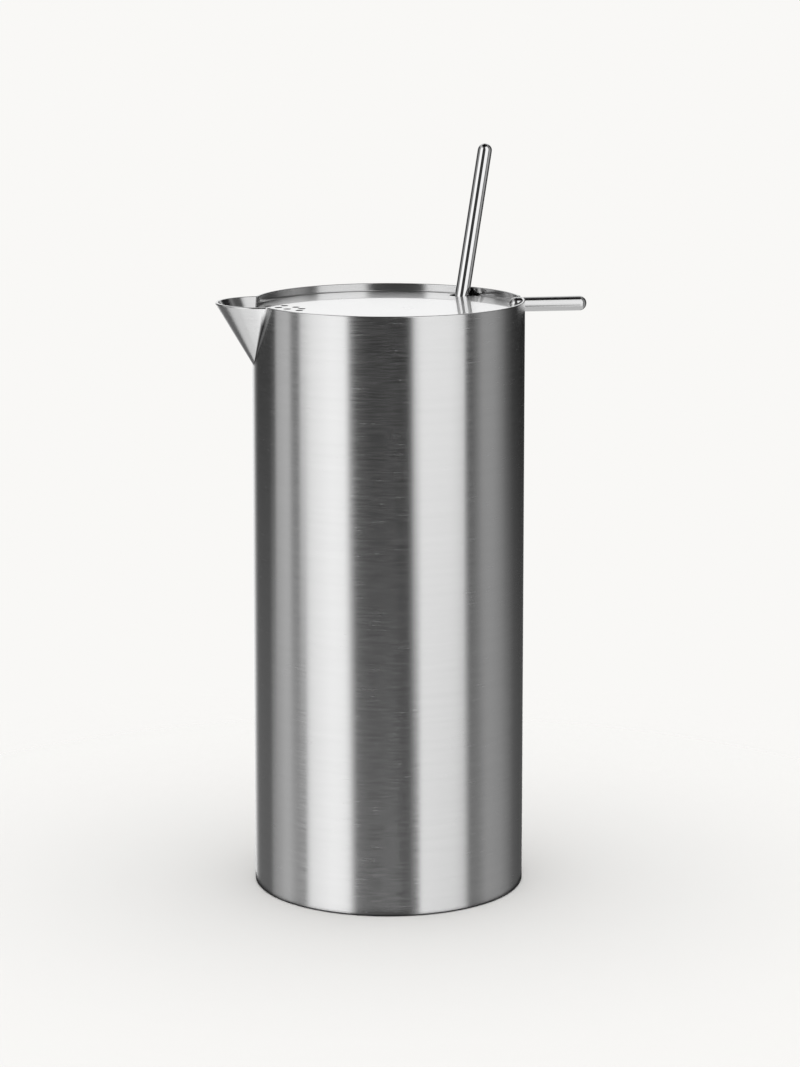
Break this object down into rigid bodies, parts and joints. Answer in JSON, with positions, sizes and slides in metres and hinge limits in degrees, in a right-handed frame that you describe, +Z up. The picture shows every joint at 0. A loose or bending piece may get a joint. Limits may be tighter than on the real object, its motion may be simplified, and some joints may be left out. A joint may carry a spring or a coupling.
{
  "type": "cocktail pitcher",
  "caption": "Straight-sided steel cocktail pitcher with a conical spout, a drop-in strainer lid with a short rod handle, and a long mixing spoon leaning in the lid's slot.",
  "frame": {"origin": "centre of the flat foot, on the surface that the pitcher stands on", "axes": "+Z up along the body's axis, -X towards the spout, +X towards the lid's rod handle"},
  "size_m": [0.1518, 0.11, 0.2988],
  "materials": {
    "brushed_body": "fine brushing round the body",
    "polished_lid": "polished stainless steel",
    "satin_rod": "satin stainless steel",
    "polished_spoon": "polished stainless steel"
  },
  "bodies": {
    "pitcher": {"body_tube": "brushed_body", "base_disc": "brushed_body", "spout": "brushed_body"},
    "lid": {"strainer_lid": "polished_lid", "lid_handle": "satin_rod"},
    "spoon": {"spoon_shaft": "polished_spoon", "spoon_bowl": "polished_spoon"}
  },
  "joints": [
    {"name": "lid_lift", "type": "slide", "parent": "pitcher", "child": "lid", "axis": [0, 0, 1], "range_m": [0, 0.09]},
    {"name": "spoon_lift", "type": "slide", "parent": "pitcher", "child": "spoon", "axis": [0.1856, 0.1731, 0.9673], "range_m": [0, 0.17]}
  ]
}
